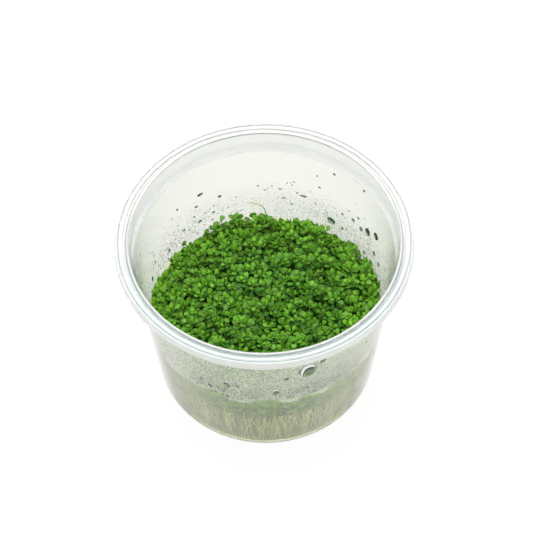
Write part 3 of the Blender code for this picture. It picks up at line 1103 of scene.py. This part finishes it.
    def under_plant(self, centre):
        """Where a root leaves its plant and where it ends in the gel below."""
        rng = self.rng
        start = centre + Vector((rng.gauss(0, 0.0030), rng.gauss(0, 0.0030), self.gel_top + 0.0005))
        end = start + Vector((rng.gauss(0, 0.0022), rng.gauss(0, 0.0022), 0.0)) + centre * rng.uniform(0.0, 0.15)
        end.z = rng.uniform(0.0035, 0.012)
        return start, end

    def along_wall(self, centre):
        """Where a root leaves an outer plant and where it ends against the wall."""
        rng = self.rng
        turn = math.atan2(centre.y, centre.x) + max(-0.19, min(0.19, rng.gauss(0, 0.11)))
        start_height = self.gel_top + rng.uniform(-0.0040, 0.0025)
        start = on_ring(turn, inner_radius(start_height) - rng.uniform(0.0002, 0.0006), start_height)
        height = rng.uniform(0.0025, 0.0130)
        end = on_ring(turn + rng.gauss(0, 0.07), inner_radius(height) - rng.uniform(0.0001, 0.0006), height)
        return start, end

    def crowns_and_roots(self):
        rng = self.rng
        for centre in self.centres:
            mound = Matrix.Translation(centre + Vector((0, 0, self.gel_top + 0.0004)))
            mound = mound @ Matrix.Rotation(rng.uniform(0, SPIN), 4, "Z") @ Matrix.Scale(CROWN_RADIUS, 4)
            # Low tone and no youth make the crown dark green: painted shade in the gaps between the rosettes, on a
            # mound of old growth
            self.add(centre, self.crown, mound, 0.1, 0.0)
            ends = [self.under_plant(centre) for _ in range(self.plants.roots)]
            if centre.length > OUTER_RING:
                ends += [self.along_wall(centre) for _ in range(self.plants.wall_roots)]
            for start, end in ends:
                root = rng.choice(self.roots)
                length = (end - start).length
                place = between(start, end, length * rng.uniform(0.45, 0.95), rng.uniform(0, SPIN))
                self.add(centre, root, place)

    def remove_models(self):
        for model in self.leaves + self.roots + [self.stem, self.crown, self.runner]:
            bpy.data.objects.remove(model)


def has_clear_face(face, cup):
    """Whether a face is inside the wall, under the rim or on the collar's outer side, which aren't milky."""
    middle, away = face.center, face.center.xy.length
    top = CUP_HEIGHT - SHOULDER_DROP - cup.wall
    inside = away < wall_radius(middle.z) - cup.wall / 2 and cup.floor / 2 < middle.z < top
    under = CLEAR_UNDER[0] < away < CLEAR_UNDER[1] and CLEAR_UNDER_FROM < middle.z and face.normal.z < -0.2
    collar = COLLAR[0] < away < COLLAR[1] and COLLAR_HEIGHT[0] < middle.z < COLLAR_HEIGHT[1]
    return inside or under or collar


class CULTURE_OT_cup(bpy.types.Operator):
    """Model the moulded cup with its shoulder, collar, stepped rim and skirt"""

    bl_idname = "culture.cup"
    bl_label = "Cup"

    def execute(self, context):
        cup = context.scene.cup
        foot = CUP_HEIGHT - SHOULDER_DROP
        inside = arc(inner_radius(FOOT_FILLET), cup.floor, FOOT_FILLET - cup.wall, 6)
        outside = arc(wall_radius(FOOT_FILLET), 0.0, FOOT_FILLET, 8)
        rim = [(inner_radius(foot), foot)]
        rim += [(radius, CUP_HEIGHT - drop) for radius, drop in RIM_INSIDE + RIM_OUTSIDE]
        rim.append((wall_radius(foot - cup.wall), foot - cup.wall))
        profile = [(0.0, cup.floor)] + inside
        profile += rounded([inside[-1]] + rim + [outside[-1]], ROUNDING, ROUND_STEPS)[1:-1]
        profile += outside[::-1] + [(0.0, 0.0)]
        piece = spun("clear_cup", profile, CUP_SIDES)
        piece.data.materials.append(plastic_material(cup))
        piece.data.materials.append(misted_material(cup, context.scene.plants.mat_top))
        for face in piece.data.polygons:
            if has_clear_face(face, cup):
                face.material_index = 1
        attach(piece, BODY)
        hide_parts("cup")
        return {"FINISHED"}


class CULTURE_OT_gel(bpy.types.Operator):
    """Model the layer of nutrient gel with its meniscus against the wall"""

    bl_idname = "culture.gel"
    bl_label = "Gel"

    def execute(self, context):
        scene = context.scene
        top = scene.gel.top
        gap = scene.gel.side_gap
        edge = inner_radius(top) - gap
        base = scene.cup.floor + FLOOR_GAP
        profile = [(0.0, top)] + [(edge - away, top + rise) for away, rise in MENISCUS]
        foot = arc(inner_radius(FOOT_FILLET) - gap, base, FOOT_FILLET - scene.cup.wall - gap, 6)
        profile = rounded(profile, MENISCUS_ROUNDING, 3)
        profile += foot[::-1] + [(0.0, base)]
        piece = spun("agar_gel", profile, CUP_SIDES)
        piece.data.materials.append(gel_material(scene.gel))
        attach(piece, BODY)
        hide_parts("nutrient_gel")
        return {"FINISHED"}


class CULTURE_OT_plants(bpy.types.Operator):
    """Grow the thirty plants of the mat with their shoots, leaves, runner and roots"""

    bl_idname = "culture.plants"
    bl_label = "Plants"

    def execute(self, context):
        growth = Growth(context.scene.plants, context.scene.gel.top)
        growth.mat_shoots()
        growth.edge_shoots()
        growth.wall_leaves()
        growth.wall_stems()
        growth.crowns_and_roots()
        growth.add(RUNNER[1], growth.runner, Matrix.Identity(4))
        for i, recipe in enumerate(growth.grown):
            plant = gathered(f"glossostigma_{i + 1:02d}", copy_of, recipe)
            keep_in_cup(plant, PLANT_CLEARANCE, PLANT_FLOOR)
            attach(plant, BODY)
            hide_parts(f"plant_{i + 1:02d}")
        growth.remove_models()
        return {"FINISHED"}


def model_drop(name, segments, rings, look, gleam=None):
    """Half a drop with its flat side at the origin, a unit in radius, closed underneath.

    The painted highlight is a second, whitish material, for a crescent of faces at its upper rim.
    """
    drop = open_ball(name, segments, rings)
    bpy.ops.mesh.select_all(action="SELECT")
    bpy.ops.mesh.bisect(plane_co=(0, 0, -0.001), plane_no=(0, 0, 1), use_fill=True, clear_inner=True)
    bpy.ops.mesh.select_all(action="SELECT")
    bpy.ops.mesh.remove_doubles(threshold=0.01)
    settle(drop)
    drop.data.materials.append(look)
    if gleam:
        drop.data.materials.append(gleam)
        for face in drop.data.polygons:
            across, up, out = face.center
            if out > 0.01 and math.hypot(across, up + GLEAM_SHIFT) > GLEAM_RADIUS:
                face.material_index = 1
    return drop


def place_drop(source, angle, height, width, length, tall, outside=False):
    """A copy of a drop on the wall, inside or outside, at an angle in degrees."""
    seat = on_wall(math.radians(angle), height, -DROP_SINK, outside)
    # The painted highlight leans towards the cup's middle, as a reflection would
    lean = math.radians(GLEAM_LEAN * (angle + 90)) if outside else 0.0
    size = Matrix.Diagonal((width / 2, length / 2, tall, 1.0))
    return moved_copy(source, seat @ size @ Matrix.Rotation(lean, 4, "Z"))


class CULTURE_OT_drops(bpy.types.Operator):
    """Put the condensation on the wall: large drops at the back and the front, and a mist of small ones"""

    bl_idname = "culture.drops"
    bl_label = "Condensation"

    def execute(self, context):
        drops = context.scene.drops
        rng = random.Random(drops.seed)
        water, _, _ = material("water", 0.0, WATER_IOR, 1.0, WHITE)
        # Tinted water paints shade and the mat's green into the drops' bodies
        shaded, _, _ = material("water_painted_leaf_shade", 0.0, WATER_IOR, 1.0, drops.shade)
        # Nearly white and mostly opaque: it paints the highlight on the front drops' upper rim
        gleam, _, _ = material("drop_painted_highlight", 0.1, WATER_IOR, 0.15, PAINTED_GLEAM_COLOUR)
        dim, _, _ = material("water_painted_shade", 0.0, WATER_IOR, 1.0, drops.front_shade)
        large = model_drop("drop", 24, 12, shaded)
        front = model_drop("front_drop", 32, 20, dim, gleam)
        small = model_drop("droplet", 6, 4, water)
        pieces = [(large, *drop, min(drop[2:]) * drops.height) for drop in DROPS]
        pieces += [(front, *drop, drops.front_height * drop[2], True) for drop in FRONT_DROPS]
        mist = []
        for middle, half, foot, top, count in MIST_PATCHES:
            for _ in range(count):
                angle = middle + half * max(-1.4, min(1.4, rng.gauss(0, 0.55)))
                height = min(MIST_LIMIT, foot + (top - foot) * abs(rng.gauss(0, 0.42)))
                size = drops.mist_size * (0.35 + 0.65 * rng.random() ** 2)
                tall = size * (FRONT_MIST_RISE if middle < 0 else BACK_MIST_RISE)
                mist.append((small, angle, height, 2 * size, 2.1 * size, tall))
        for name, group in (("wall_drops", pieces), ("wall_mist", mist)):
            piece = gathered(name, place_drop, group)
            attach(piece, BODY)
        for model in (large, front, small):
            bpy.data.objects.remove(model)
        return {"FINISHED"}


class CULTURE_OT_stage(bpy.types.Operator):
    """Set the white floor, the soft studio light and the camera"""

    bl_idname = "culture.stage"
    bl_label = "Stage"

    def execute(self, context):
        stage = context.scene.stage
        deselect()
        bpy.ops.mesh.primitive_plane_add(size=STAGE_SIZE, location=(0, 0, -STAGE_DROP))
        floor = bpy.context.object
        floor.name = "floor"
        white, _, shader = material("floor_white", 0.9, colour=(0.1, 0.1, 0.1), specular=0.0)
        shader.inputs["Emission Color"].default_value = (*WHITE, 1.0)
        shader.inputs["Emission Strength"].default_value = stage.table
        floor.data.materials.append(white)
        settle(floor)
        world = bpy.data.worlds.new("studio")
        world.use_nodes = True
        sky = world.node_tree.nodes["Background"]
        sky.inputs["Color"].default_value = (*WHITE, 1.0)
        sky.inputs["Strength"].default_value = stage.sky
        context.scene.world = world
        bpy.ops.object.light_add(type="AREA", location=KEY_PLACE)
        key = bpy.context.object
        key.data.size = KEY_SIZE
        key.data.energy = stage.key
        key.rotation_euler = (KEY_AIM - key.location).to_track_quat("-Z", "Y").to_euler()
        back = Vector((0.0, -math.cos(stage.elevation), math.sin(stage.elevation)))
        bpy.ops.object.camera_add(location=CAMERA_AIM + back * stage.distance)
        camera = bpy.context.object
        camera.rotation_mode = "QUATERNION"
        camera.rotation_quaternion = (-back).to_track_quat("-Z", "Y") @ Quaternion((0, 0, 1), stage.roll)
        camera.data.lens = CAMERA_LENS
        context.scene.camera = camera
        context.scene.view_settings.view_transform = "Standard"
        return {"FINISHED"}


class CULTURE_PT_panel(bpy.types.Panel):
    """Lists the sizes and colours of the pieces, and the steps that make them"""

    bl_idname = "CULTURE_PT_panel"
    bl_label = "Culture cup"
    bl_space_type = "VIEW_3D"
    bl_region_type = "UI"
    bl_category = "Culture cup"

    def draw(self, context):
        for group, _, operator in STEPS:
            settings = getattr(context.scene, group)
            box = self.layout.box()
            for key in settings.__annotations__:
                box.prop(settings, key)
            box.operator(operator.bl_idname)


STEPS = (
    ("cup", CupProperties, CULTURE_OT_cup),
    ("gel", GelProperties, CULTURE_OT_gel),
    ("plants", PlantProperties, CULTURE_OT_plants),
    ("drops", DropProperties, CULTURE_OT_drops),
    ("stage", StageProperties, CULTURE_OT_stage),
)


def register():
    for key, group, operator in STEPS:
        bpy.utils.register_class(group)
        setattr(bpy.types.Scene, key, PointerProperty(type=group))
        bpy.utils.register_class(operator)
    bpy.utils.register_class(CULTURE_PT_panel)


def unregister():
    bpy.utils.unregister_class(CULTURE_PT_panel)
    for key, group, operator in reversed(STEPS):
        bpy.utils.unregister_class(operator)
        delattr(bpy.types.Scene, key)
        bpy.utils.unregister_class(group)


def main():
    register()
    bpy.ops.culture.cup()
    bpy.ops.culture.gel()
    bpy.ops.culture.plants()
    bpy.ops.culture.drops()
    bpy.ops.culture.stage()
    deselect()


if __name__ == "__main__":
    main()
